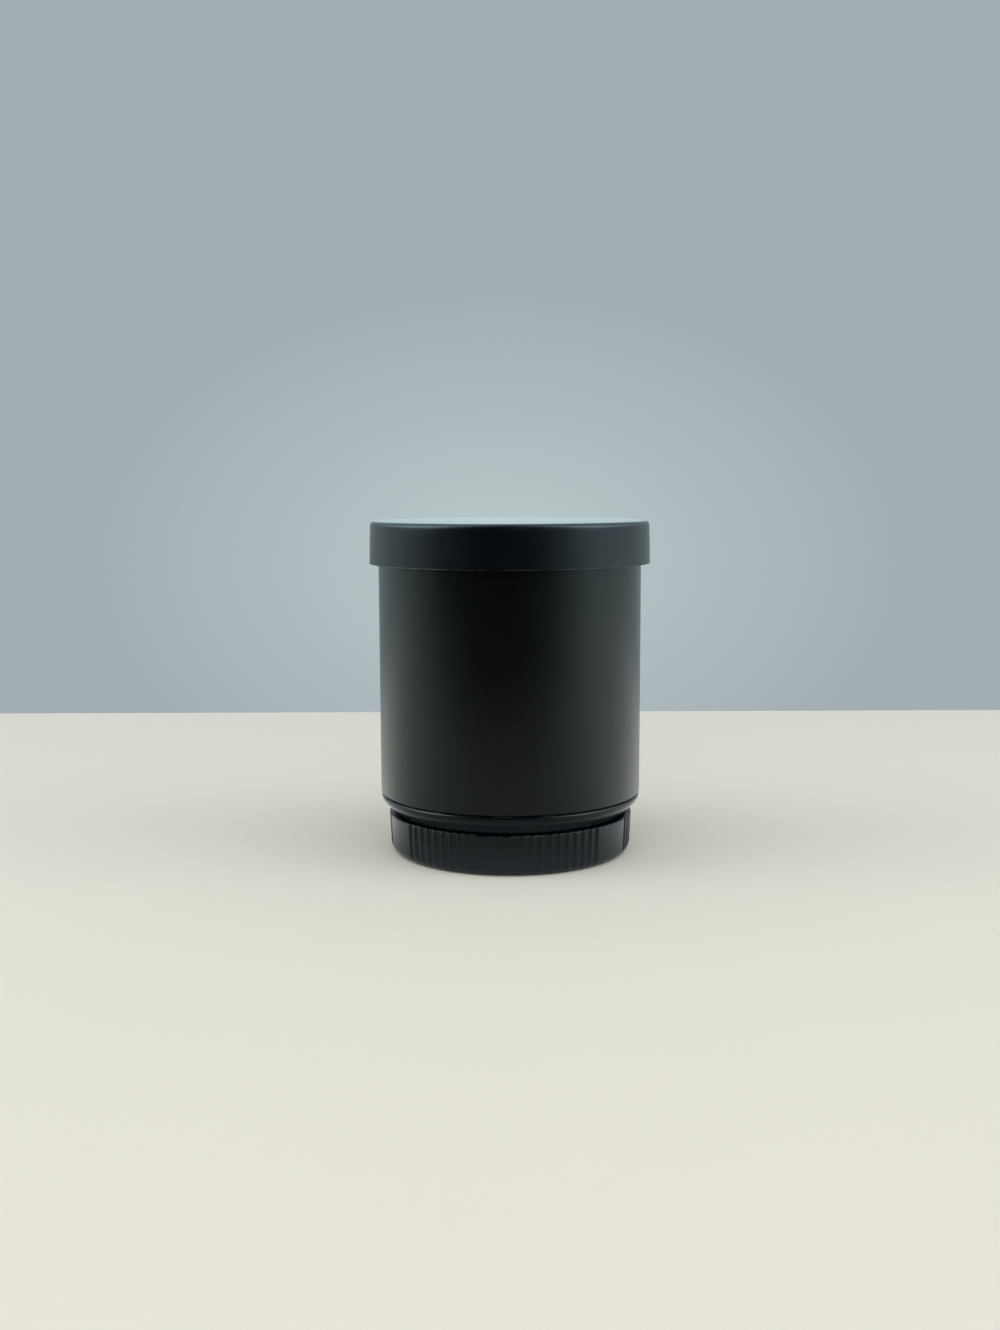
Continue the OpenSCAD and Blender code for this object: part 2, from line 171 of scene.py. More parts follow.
def turnedCopies(makeOne, name, count, startAngle):
    pieces = []
    for i in range(count):
        piece = makeOne("%s_%d" % (name, i))
        pickOnly(piece)
        bpy.ops.object.transform_apply(location=True, rotation=True, scale=True)
        piece.rotation_euler = (0, 0, math.radians(startAngle) + i * fullTurn / count)
        bpy.ops.object.transform_apply(location=True, rotation=True, scale=True)
        pieces.append(piece)
    return joinPieces(pieces)


def boxTool(name, lowCorner, highCorner):
    deselectAll()
    size = [(b - a) * mm for a, b in zip(lowCorner, highCorner)]
    middle = [(a + b) / 2 * mm for a, b in zip(lowCorner, highCorner)]
    bpy.ops.mesh.primitive_cube_add(size=1, location=middle)
    tool = bpy.context.object
    tool.name = name
    tool.scale = size
    bpy.ops.object.transform_apply(location=True, rotation=True, scale=True)
    return tool


# both ends of the converter carry the same thread
mountThread = {"pitch": 0.75, "columns": 144, "marks": [0, 12, 63, 81, 132, 144]}


def threadSection(lowR, highR, start):
    step = mountThread["pitch"] / mountThread["columns"]
    radii = [lowR, lowR, highR, highR, lowR, lowR]
    return [(r, start + mark * step) for r, mark in zip(radii, mountThread["marks"])]


def makeThread(name, lowR, highR, lowZ, highZ, phaseZ):
    pitch, columns = mountThread["pitch"], mountThread["columns"]
    start = phaseZ + (math.floor((lowZ - phaseZ) / pitch) - 2) * pitch
    turns = math.ceil((highZ - start) / pitch) + 1
    thread = drawSection(name, threadSection(lowR, highR, start))
    screw = thread.modifiers.new("thread", "SCREW")
    screw.axis = "Z"
    screw.angle = fullTurn
    screw.screw_offset = pitch * mm
    screw.iterations = turns
    screw.steps = screw.render_steps = columns
    applyModifiers(thread)
    mergeDoubles(thread)
    editPiece(thread)
    for height, below in ((lowZ, True), (highZ, False)):
        bpy.ops.mesh.select_all(action="SELECT")
        bpy.ops.mesh.bisect(plane_co=(0, 0, height * mm), plane_no=(0, 0, 1), clear_inner=below,
                            clear_outer=not below, threshold=2 * seamTolerance)
    bpy.ops.object.mode_set(mode="OBJECT")
    return thread


def onThreadGrid(z, phaseZ):  # the nearest height at which the thread's columns meet a flat cut
    step = mountThread["pitch"] / mountThread["columns"]
    return phaseZ + round((z - phaseZ) / step) * step


def closeRims(piece, lowZ, highZ, close):  # bridges or fills the open rims between two heights
    mesh = editPiece(piece, "EDGE")
    for edge in mesh.edges:
        heights = [v.co.z / mm for v in edge.verts]
        edge.select = edge.is_boundary and min(heights) > lowZ and max(heights) < highZ
    bmesh.update_edit_mesh(piece.data)
    print("closing", sum(edge.select for edge in mesh.edges), "edges of", piece.name)
    close()
    bpy.ops.object.mode_set(mode="OBJECT")


bridge = bpy.ops.mesh.bridge_edge_loops
fill = bpy.ops.mesh.fill


# shader building
def addNode(tree, kind, **settings):
    node = tree.nodes.new(kind)
    for key, value in settings.items():
        setattr(node, key, value)
    return node


def feed(tree, socket, value):  # an output is linked, a plain value is set
    if isinstance(value, bpy.types.NodeSocket):
        tree.links.new(value, socket)
    else:
        socket.default_value = value


def mathNode(tree, operation, first, second, **settings):
    node = addNode(tree, "ShaderNodeMath", operation=operation, **settings)
    feed(tree, node.inputs[0], first)
    feed(tree, node.inputs[1], second)
    return node.outputs[0]


def vectorNode(tree, operation, *values):
    node = addNode(tree, "ShaderNodeVectorMath", operation=operation)
    for socket, value in zip(node.inputs, values):
        feed(tree, socket, value)
    return node.outputs["Value" if operation == "LENGTH" else "Vector"]


def rangeNode(tree, value, low, high, toLow=0.0, toHigh=1.0):
    node = addNode(tree, "ShaderNodeMapRange")
    for key, number in (("From Min", low), ("From Max", high), ("To Min", toLow), ("To Max", toHigh)):
        node.inputs[key].default_value = number
    tree.links.new(value, node.inputs["Value"])
    return node.outputs[0]


def placeParts(tree, output="Object"):  # a place, and its x, y and z
    place = addNode(tree, "ShaderNodeTexCoord").outputs[output]
    split = addNode(tree, "ShaderNodeSeparateXYZ")
    tree.links.new(place, split.inputs[0])
    return place, split.outputs


def startGroup(name, inputs, outputs):
    group = bpy.data.node_groups.new(name, "ShaderNodeTree")
    for socketName, kind, value in inputs:
        socket = group.interface.new_socket(socketName, in_out="INPUT", socket_type=kind)
        socket.default_value = value
    for socketName, kind in outputs:
        group.interface.new_socket(socketName, in_out="OUTPUT", socket_type=kind)
    return group, addNode(group, "NodeGroupInput").outputs, addNode(group, "NodeGroupOutput").inputs


def makeSurfaceGrain():  # noise stretched along the piece, for turned lines or moulded texture
    group, given, wanted = startGroup("surfaceGrain", [
        ("Stretch", "NodeSocketVector", (1000, 1000, 1000)), ("Detail", "NodeSocketFloat", 2.0)],
        [("Height", "NodeSocketFloat")])
    place = addNode(group, "ShaderNodeTexCoord").outputs["Object"]
    grain = addNode(group, "ShaderNodeTexNoise")
    grain.inputs["Scale"].default_value = 1.0
    group.links.new(vectorNode(group, "MULTIPLY", place, given["Stretch"]), grain.inputs["Vector"])
    group.links.new(given["Detail"], grain.inputs["Detail"])
    group.links.new(grain.outputs["Fac"], wanted["Height"])
    return group


speckEdge = 30.0  # how sharply a speck ends


def makeDustSpecks():  # sparse round specks, each cell with its own size
    group, given, wanted = startGroup("dustSpecks", [
        ("Density", "NodeSocketFloat", 400.0), ("Size", "NodeSocketFloat", 0.12),
        ("Amount", "NodeSocketFloat", 0.2)], [("Mask", "NodeSocketFloat")])
    place = addNode(group, "ShaderNodeTexCoord")
    cells = addNode(group, "ShaderNodeTexVoronoi")
    group.links.new(place.outputs["Object"], cells.inputs["Vector"])
    group.links.new(given["Density"], cells.inputs["Scale"])
    chance = addNode(group, "ShaderNodeSeparateColor")
    group.links.new(cells.outputs["Color"], chance.inputs[0])
    kept = mathNode(group, "LESS_THAN", chance.outputs[0], given["Amount"])
    reach = mathNode(group, "MULTIPLY", given["Size"], chance.outputs[1])
    inside = mathNode(group, "SUBTRACT", reach, cells.outputs["Distance"])
    sharp = mathNode(group, "MULTIPLY", inside, speckEdge, use_clamp=True)
    group.links.new(mathNode(group, "MULTIPLY", sharp, kept), wanted["Mask"])
    return group


rimPatch = {"detail": 5.0, "low": 0.48, "high": 0.66}


def makeRubbedRimAndGlint():  # a band at one height, broken up by noise: rubbed wear, and on the front cap's lower edge partly a painted highlight
    group, given, wanted = startGroup("rubbedRimAndGlint", [
        ("Height", "NodeSocketFloat", 0.0), ("Reach", "NodeSocketFloat", 0.0004),
        ("Patches", "NodeSocketFloat", 260.0)], [("Mask", "NodeSocketFloat")])
    place, parts = placeParts(group)
    away = mathNode(group, "ABSOLUTE", mathNode(group, "SUBTRACT", parts[2], given["Height"]), 0)
    near = mathNode(group, "SUBTRACT", 1.0, mathNode(group, "DIVIDE", away, given["Reach"]), use_clamp=True)
    patches = addNode(group, "ShaderNodeTexNoise")
    patches.inputs["Detail"].default_value = rimPatch["detail"]
    group.links.new(place, patches.inputs["Vector"])
    group.links.new(given["Patches"], patches.inputs["Scale"])
    broken = rangeNode(group, patches.outputs["Fac"], rimPatch["low"], rimPatch["high"])
    group.links.new(mathNode(group, "MULTIPLY", near, broken), wanted["Mask"])
    return group


surfaceGrain = makeSurfaceGrain()
dustSpecks = makeDustSpecks()
rubbedRimAndGlint = makeRubbedRimAndGlint()
print("node groups built")


def placeGroup(tree, group, **values):
    node = addNode(tree, "ShaderNodeGroup", node_tree=group)
    for key, value in values.items():
        node.inputs[key].default_value = value
    return node.outputs


def mixColour(tree, mask, first, second):
    mix = addNode(tree, "ShaderNodeMix", data_type="RGBA")
    tree.links.new(mask, mix.inputs["Factor"])
    for socket, value in ((mix.inputs[6], first), (mix.inputs[7], second)):
        feed(tree, socket, (*value, 1) if isinstance(value, tuple) else value)
    return mix.outputs[2]


def startFinish(name):
    finish = bpy.data.materials.new(name)
    finish.use_nodes = True
    return finish, finish.node_tree, finish.node_tree.nodes["Principled BSDF"]


clouding = {"detail": 4.0, "low": 0.3, "high": 0.7}
speckRoughness = 0.8


def makeFinish(name, look):
    finish, tree, shader = startFinish(name)
    shader.inputs["Metallic"].default_value = look.get("metallic", 0.0)
    shader.inputs["IOR"].default_value = look.get("ior", 1.5)
    shader.inputs["Specular Tint"].default_value = (*look.get("shineTint", (1.0, 1.0, 1.0)), 1)
    clouds = placeGroup(tree, surfaceGrain, Stretch=look["cloudStretch"], Detail=clouding["detail"])
    colour = mixColour(tree, clouds["Height"], look["dark"], look["light"])
    rough = rangeNode(tree, clouds["Height"], clouding["low"], clouding["high"], *look["roughness"])
    upright = placeParts(tree)[1][2]
    if "lighterBelow" in look:  # colour grows lighter below a height
        high, low, lowColour = look["lighterBelow"]
        colour = mixColour(tree, rangeNode(tree, upright, high * mm, low * mm), colour, lowColour)
    if "polished" in look:  # a face above some height that is smoother than the rest
        low, high, coatIor, coatRoughness = look["polished"]
        tree.links.new(rangeNode(tree, upright, low * mm, high * mm), shader.inputs["Coat Weight"])
        shader.inputs["Coat IOR"].default_value = coatIor
        shader.inputs["Coat Roughness"].default_value = coatRoughness
    for rim in look.get("rims", []):
        wornAndGlint = placeGroup(tree, rubbedRimAndGlint, Height=rim[0] * mm, Reach=rim[1] * mm, Patches=rim[2])
        faint = mathNode(tree, "MULTIPLY", wornAndGlint["Mask"], rim[3])
        colour = mixColour(tree, faint, colour, look["wornAndGlint"])
    if "dust" in look:
        density, size, amount = look["dust"]
        specks = placeGroup(tree, dustSpecks, Density=density, Size=size, Amount=amount)
        colour = mixColour(tree, specks["Mask"], colour, look["dustColour"])
        rough = mathNode(tree, "MAXIMUM", rough, mathNode(tree, "MULTIPLY", specks["Mask"], speckRoughness))
    tree.links.new(colour, shader.inputs["Base Color"])
    tree.links.new(rough, shader.inputs["Roughness"])
    grain = placeGroup(tree, surfaceGrain, Stretch=look["grainStretch"])
    bump = addNode(tree, "ShaderNodeBump")
    bump.inputs["Strength"].default_value = look["bump"]
    bump.inputs["Distance"].default_value = look["bumpDepth"] * mm
    tree.links.new(grain["Height"], bump.inputs["Height"])
    tree.links.new(bump.outputs[0], shader.inputs["Normal"])
    return finish


satinBlack = makeFinish("satinBlack", {  # the barrel's fine satin coat with faint turned lines
    "dark": (0.0003, 0.0009, 0.0007), "light": (0.0006, 0.0014, 0.0011),
    "roughness": (0.27, 0.33), "ior": 1.33,
    "shineTint": (0.86, 1.0, 1.0),
    "cloudStretch": (90, 90, 60), "grainStretch": (260, 260, 9000), "bump": 0.10, "bumpDepth": 0.01,
    "wornAndGlint": (0.10, 0.10, 0.10), "rims": [(62.5, 0.18, 300, 0.5)],
    "dust": (330, 0.06, 0.08), "dustColour": (0.10, 0.10, 0.095)})
glossBlack = makeFinish("glossBlack", {  # the rear mount is smoother and a little shinier
    "dark": (0.0012, 0.0030, 0.0046), "light": (0.0022, 0.0044, 0.0064),
    "roughness": (0.16, 0.22), "ior": 1.26,
    # the bevel under the band is painted lighter towards its foot: a painted reflection of the bright table
    "shineTint": (0.86, 1.0, 1.0), "lighterBelow": (10.3, 8.2, (0.022, 0.027, 0.033)),
    "cloudStretch": (120, 120, 200), "grainStretch": (220, 220, 12000), "bump": 0.12, "bumpDepth": 0.008,
    "wornAndGlint": (0.16, 0.16, 0.16), "rims": [(11.7, 0.12, 330, 0.3)],
    "dust": (420, 0.06, 0.08), "dustColour": (0.09, 0.09, 0.085)})
frontCapPlastic = makeFinish("frontCapPlastic", {  # satin moulded plastic, slightly blue
    "dark": (0.0001, 0.0009, 0.0022), "light": (0.0003, 0.0015, 0.0032),
    "roughness": (0.30, 0.38), "ior": 1.35,
    "shineTint": (0.88, 1.0, 1.06),
    "cloudStretch": (110, 110, 150), "grainStretch": (2600, 2600, 2600), "bump": 0.10, "bumpDepth": 0.012,
    # the band along the lower edge is partly rubbed wear and partly a painted highlight where the mould flash
    # catches the light
    "wornAndGlint": (0.12, 0.12, 0.117), "rims": [(56.64, 0.12, 420, 0.3), (63.9, 0.5, 520, 0.08)],
    "polished": (64.55, 64.78, 1.3, 0.05), "dust": (420, 0.055, 0.12), "dustColour": (0.13, 0.13, 0.125)})
rearCapPlastic = makeFinish("rearCapPlastic", {
    "dark": (0.0006, 0.0022, 0.0040), "light": (0.0014, 0.0033, 0.0054),
    "roughness": (0.24, 0.31), "ior": 1.32,
    # the rear cap grows lighter towards its foot, from 6 mm down to 0.8 mm
    "shineTint": (0.86, 1.0, 1.06), "lighterBelow": (6.0, 0.8, (0.010, 0.015, 0.019)),
    "cloudStretch": (130, 130, 170), "grainStretch": (2800, 2800, 2800), "bump": 0.10, "bumpDepth": 0.012,
    "wornAndGlint": (0.15, 0.15, 0.15), "rims": [(7.7, 0.2, 420, 0.25), (0.5, 0.4, 500, 0.2)],
    "dust": (420, 0.055, 0.10), "dustColour": (0.12, 0.12, 0.115)})
cellBlack = makeFinish("cellBlack", {  # inner rings, black with turned lines
    "dark": (0.006, 0.006, 0.0065), "light": (0.011, 0.011, 0.0115), "roughness": (0.30, 0.42),
    "cloudStretch": (140, 140, 200), "grainStretch": (500, 500, 9000), "bump": 0.14, "bumpDepth": 0.01,
    "wornAndGlint": (0.2, 0.2, 0.2), "rims": [(62.3, 0.25, 420, 0.35)],
    "dust": (400, 0.10, 0.08), "dustColour": (0.09, 0.09, 0.085)})
mattBlack = makeFinish("mattBlack", {  # baffles and retaining rings, dull to kill reflections
    "dark": (0.007, 0.007, 0.0072), "light": (0.013, 0.013, 0.0132), "roughness": (0.72, 0.86),
    "cloudStretch": (160, 160, 160), "grainStretch": (5200, 5200, 5200), "bump": 0.3, "bumpDepth": 0.02,
    "dust": (420, 0.10, 0.08), "dustColour": (0.08, 0.08, 0.078)})
screwSteel = makeFinish("screwSteel", {
    "dark": (0.14, 0.14, 0.15), "light": (0.24, 0.24, 0.25), "roughness": (0.28, 0.42), "metallic": 1.0,
    "cloudStretch": (900, 900, 900), "grainStretch": (4000, 4000, 4000), "bump": 0.15, "bumpDepth": 0.01})
shimBrass = makeFinish("shimBrass", {
    "dark": (0.50, 0.34, 0.12), "light": (0.66, 0.47, 0.19), "roughness": (0.25, 0.40), "metallic": 1.0,
    "cloudStretch": (200, 200, 200), "grainStretch": (900, 900, 6000), "bump": 0.1, "bumpDepth": 0.01})


def makeGlass(name, look):  # a thin film colours the reflections
    finish, tree, shader = startFinish(name)
    shader.inputs["Transmission Weight"].default_value = 1.0
    shader.inputs["IOR"].default_value = look["ior"]
    shader.inputs["Thin Film Thickness"].default_value = look["coatThickness"]
    shader.inputs["Thin Film IOR"].default_value = look["coatIor"]
    haze = placeGroup(tree, surfaceGrain, Stretch=look["hazeStretch"], Detail=look["hazeDetail"])
    tint = mixColour(tree, haze["Height"], look["dark"], look["light"])
    specks = placeGroup(tree, dustSpecks, Density=look["dust"][0], Size=look["dust"][1],
                        Amount=look["dust"][2])
    tree.links.new(mixColour(tree, specks["Mask"], tint, look["dustColour"]), shader.inputs["Base Color"])
    rough = mathNode(tree, "MULTIPLY", specks["Mask"], look["dustRoughness"])
    tree.links.new(rough, shader.inputs["Roughness"])
    return finish


coatedGlass = makeGlass("coatedGlass", {"ior": 1.65, "coatThickness": 420.0, "coatIor": 1.38,
                                        "dark": (0.93, 0.96, 0.95), "light": (0.97, 0.99, 0.985),
                                        "dust": (420, 0.09, 0.12), "dustColour": (0.55, 0.55, 0.53),
                                        "dustRoughness": 0.5, "hazeStretch": (240, 240, 240),
                                        "hazeDetail": 3.0})
print("finishes built")


# push-on front cap
frontCap = {"edgeR": 27.28, "shoulderR": 27.03, "boreR": 25.8, "edgeZ": 56.6, "underZ": 62.8, "topZ": 64.8,
            "topRound": 1.0, "underRound": 0.6, "flashR": 0.06, "flashH": 0.09, "ribs": 6, "ribR": 0.5,
            "ribReach": 0.2, "ribStart": 1.0, "steps": 384, "mouthH": 0.25, "mouthEase": 0.2,
            "edgeEase": 0.03, "edgeW": 0.3, "edgeRound": 0.1, "flashEase": 0.02, "skirtGap": 0.07,
            "skirtStart": 0.3, "coarse": (0.9, 0.5), "fine": (3.1, 0.4), "flashLevel": 0.45, "ribSides": 24,
            "bulgeH": 3.2, "bulge": 0.06, "spread": 0.04, "ribSink": 0.4, "ribTip": 0.25,
            "ribTipLean": 0.12, "ribTipDrop": 0.3, "skirtSteps": 8}


def makeFrontCap():
    cap = frontCap
    skirtR = cap["edgeR"] - cap["flashR"]
    flashZ = cap["edgeZ"] + cap["flashH"]
    section = [(0, cap["underZ"]), (cap["boreR"] - cap["underRound"], cap["underZ"])]
    section += arc(cap["boreR"] - cap["underRound"], cap["underZ"] - cap["underRound"],
                   cap["underRound"], 80, 0, 5)
    section += [(cap["boreR"], cap["edgeZ"] + cap["mouthH"]),
                (cap["boreR"] + cap["mouthEase"], cap["edgeZ"] + cap["edgeEase"]),
                (cap["edgeR"] - cap["edgeW"], cap["edgeZ"]),
                (cap["edgeR"] - cap["edgeRound"], cap["edgeZ"] + cap["edgeEase"] / 3),
                (cap["edgeR"], cap["edgeZ"] + cap["edgeEase"]),
                (cap["edgeR"], flashZ - cap["flashEase"]),
                (skirtR, flashZ + cap["edgeEase"]), (skirtR, flashZ + cap["skirtGap"])]
    centreR, centreZ = cap["shoulderR"] - cap["topRound"], cap["topZ"] - cap["topRound"]
    shoulderR = cap["shoulderR"] + cap["spread"]
    skirtZ = cap["edgeZ"] + cap["skirtStart"]
    for i in range(cap["skirtSteps"]):  # the skirt leans in a little, and more so towards its top
        z = skirtZ + (centreZ - skirtZ) * i / cap["skirtSteps"]
        along = (z - cap["edgeZ"]) / (centreZ - cap["edgeZ"])
        bulge = max(0, 1 - (centreZ - z) / cap["bulgeH"]) ** 2 * cap["bulge"]
        section += [(skirtR + (shoulderR - skirtR) * along - bulge, z)]
    section += arc(centreR, centreZ, cap["topRound"], 6, 90, 14)
    section += [(centreR * 0.6, cap["topZ"]), (centreR * 0.2, cap["topZ"]), (0, cap["topZ"])]
    piece = turnPiece("frontCap", section, cap["steps"])
    mesh = editPiece(piece)
    for vertex in mesh.verts:  # the mould's flash is uneven along the edge
        r = Vector((vertex.co.x, vertex.co.y)).length / mm
        if r > skirtR + cap["flashEase"] and vertex.co.z / mm < flashZ:
            uneven = sum(noise.noise(vertex.co / mm * k) * share for k, share in (cap["coarse"], cap["fine"]))
            shrink = (min(max(cap["flashLevel"] - uneven, 0), 1) * cap["flashR"]) / r
            vertex.co.x *= 1 - shrink
            vertex.co.y *= 1 - shrink
    bmesh.update_edit_mesh(piece.data)

    def makeRib(name):
        top = cap["underZ"] + cap["ribSink"]
        bottom = cap["edgeZ"] + cap["ribStart"]
        place = (cap["boreR"] - cap["ribReach"] + cap["ribR"], 0, (top + bottom) / 2)
        rib = addRod(name, cap["ribSides"], cap["ribR"], top - bottom, place, False)
        mesh = editPiece(rib, "FACE")
        for face in mesh.faces:  # the rib's lower end leads in
            face.select = face.normal.z < -facing
        bmesh.update_edit_mesh(rib.data)
        bpy.ops.mesh.inset(thickness=cap["ribTip"] * mm)
        bpy.ops.transform.translate(value=(cap["ribTipLean"] * mm, 0, -cap["ribTipDrop"] * mm))
        bpy.ops.object.mode_set(mode="OBJECT")
        return rib

    combine(piece, turnedCopies(makeRib, "capRib", cap["ribs"], 0), "UNION")
    finishPiece(piece, "front_cap", "front_cap", frontCapPlastic)


makeFrontCap()


# main barrel
barrel = {"r": 25.5, "rearZ": 12.0, "frontZ": 62.6, "chamfer": 0.3, "easeIn": 0.1, "easeH": 0.3,
          "ringSeatR": 23.6, "ringSeatZ": 55.6, "lockSeatR": 22.6, "webTopZ": 52.65, "webR": 19.0,
          "webZ": 49.65, "middleR": 22.2, "rearStepZ": 18.0, "rearSeatR": 23.0, "grubHoleR": 1.05,
          "grubZ": 59.0, "grubs": 3, "grubLoop": 1.6, "grubHoleL": 6, "grubHoleIn": 1, "soften": 0.05,
          "columns": 256, "holeSides": 32}


def makeBarrel():
    b = barrel
    cone = b["middleR"] - b["webR"]
    piece = turnPiece("mainBarrel", closed([
        (b["rearSeatR"], b["rearZ"]), (b["r"] - b["easeIn"], b["rearZ"]),
        (b["r"] - b["easeIn"] * 0.3, b["rearZ"] + b["easeH"] * 0.35), (b["r"], b["rearZ"] + b["easeH"]),
        (b["r"], b["grubZ"] - b["grubLoop"]), (b["r"], b["grubZ"] + b["grubLoop"]),
        (b["r"], b["frontZ"] - b["chamfer"]), (b["r"] - b["chamfer"], b["frontZ"]),
        (b["ringSeatR"], b["frontZ"]),
        (b["ringSeatR"], b["ringSeatZ"]), (b["lockSeatR"], b["ringSeatZ"]), (b["lockSeatR"], b["webTopZ"]),
        (b["webR"], b["webTopZ"]), (b["webR"], b["webZ"]), (b["middleR"], b["webZ"] - cone),
        (b["middleR"], b["rearStepZ"]), (b["rearSeatR"], b["rearStepZ"])]), b["columns"])
    softenEdges(piece, b["soften"])

    def makeHole(name):
        place = (b["r"] - b["grubHoleIn"], 0, b["grubZ"])
        return addRod(name, b["holeSides"], b["grubHoleR"], b["grubHoleL"], place)

    combine(piece, turnedCopies(makeHole, "grubHole", b["grubs"], 90), "DIFFERENCE")
    finishPiece(piece, "converter", "barrel", satinBlack)


makeBarrel()


# rear mount with the male thread
rearMount = {"boreR": 18.5, "endZ": 2.8, "threadR": 20.95, "threadRootR": 20.49, "registerZ": 8.2,
             "runoutZ": 7.4, "runoutR": 20.35, "shoulderR": 22.9, "bevelTopZ": 10.55, "bandLowR": 25.25,
             "bandTopR": 25.4, "bandTopZ": 11.75, "bandRound": 0.6, "seamZ": 12.0, "seamR": 24.8,
             "spigotR": 22.95, "spigotTopZ": 17.5, "leadInZ": 3.05, "leadInR": 20.4, "phaseZ": 0.0,
             "soften": 0.04}


def makeRearMount():
    m = rearMount
    section = [(m["runoutR"], m["runoutZ"]), (m["runoutR"], m["registerZ"]), (m["shoulderR"], m["registerZ"]),
               (m["bandLowR"], m["bevelTopZ"])]
    section += arc(m["bandTopR"] - m["bandRound"], m["bandTopZ"] - m["bandRound"], m["bandRound"], 0, 84, 10)
    section += [(m["seamR"], m["bandTopZ"]), (m["seamR"], m["seamZ"]), (m["spigotR"], m["seamZ"]),
                (m["spigotR"], m["spigotTopZ"]), (m["boreR"], m["spigotTopZ"]), (m["boreR"], m["endZ"]),
                (m["leadInR"], m["endZ"])]
    body = turnPiece("rearMount", section, mountThread["columns"])
    softenEdges(body, m["soften"])
    lowZ = onThreadGrid(m["leadInZ"], m["phaseZ"])
    highZ = onThreadGrid(m["runoutZ"], m["phaseZ"])
    thread = makeThread("maleThread", m["threadRootR"], m["threadR"], lowZ, highZ, m["phaseZ"])
    piece = joinPieces([body, thread])
    closeRims(piece, m["endZ"] - rimReach, m["leadInZ"] + rimReach, bridge)
    closeRims(piece, m["runoutZ"] - rimReach, m["runoutZ"] + rimReach, bridge)
    mergeDoubles(piece)
    finishPiece(piece, "converter", "rear_mount", glossBlack)


makeRearMount()


# screw-on rear cap: grip grooves outside, female thread inside
rearCap = {"floorR": 23.65, "rimR": 23.9, "height": 7.9, "footRound": 2.2, "rimRound": 0.3, "boreR": 21.15,
           "floor": 1.6, "dishR": 17.95, "dish": 0.3, "groups": 6, "grooves": 9, "steps": 14, "turn": -65.3,
           "grooveR": 0.72, "grooveDepth": 0.38, "columnsPerPitch": 14, "grooveColumns": 5,
           "threadCrestR": 20.62, "threadRootR": 21.08, "threadLowZ": 2.5, "threadHighZ": 7.4,
           "mouthR": 21.35, "joinTopR": 22.4, "joinFootR": 20.8, "crestEase": 0.06, "joinW": 0.5,
           "mouthEase": 0.15, "mouthH": 0.1, "threadEnd": 0.25, "floorEase": 0.3, "footEase": 0.1,
           "dishEase": 0.15, "phaseZ": 0.0, "soften": 0.035, "slack": 0.001}


def pressGrooves(piece):
    c = rearCap
    pitch = fullTurn / c["groups"] / c["steps"]
    edge = math.sqrt(c["grooveR"] ** 2 - (c["grooveR"] - c["grooveDepth"]) ** 2)
    lean = (c["rimR"] - c["floorR"]) / (c["height"] - c["rimRound"] - c["footRound"])
    mesh = editPiece(piece)
    for vertex in mesh.verts:
        flat = Vector((vertex.co.x, vertex.co.y))
        r, z = flat.length / mm, vertex.co.z / mm
        groupTurn = fullTurn / c["groups"]
        turned = math.atan2(flat.y, flat.x) - math.radians(c["turn"]) + groupTurn / 2
        angle = turned % groupTurn - groupTurn / 2
        groove = max(-(c["grooves"] // 2), min(c["grooves"] // 2, round(angle / pitch)))
        # the edges of a groove fall on columns
        across = (angle / pitch - groove) * c["columnsPerPitch"] / c["grooveColumns"] * edge
        if abs(across) > edge + c["slack"]:
            continue
        wallR = c["floorR"] + lean * (z - c["footRound"])
        centreR = wallR - c["grooveDepth"] + c["grooveR"]
        grooveWall = centreR - math.sqrt(c["grooveR"] ** 2 - min(abs(across), edge) ** 2)
        grooveWall = min(grooveWall, wallR - c["crestEase"])  # ridges have eased crests
        if r > grooveWall:
            vertex.co.x *= grooveWall / r
            vertex.co.y *= grooveWall / r
    bmesh.update_edit_mesh(piece.data)
    bpy.ops.object.mode_set(mode="OBJECT")


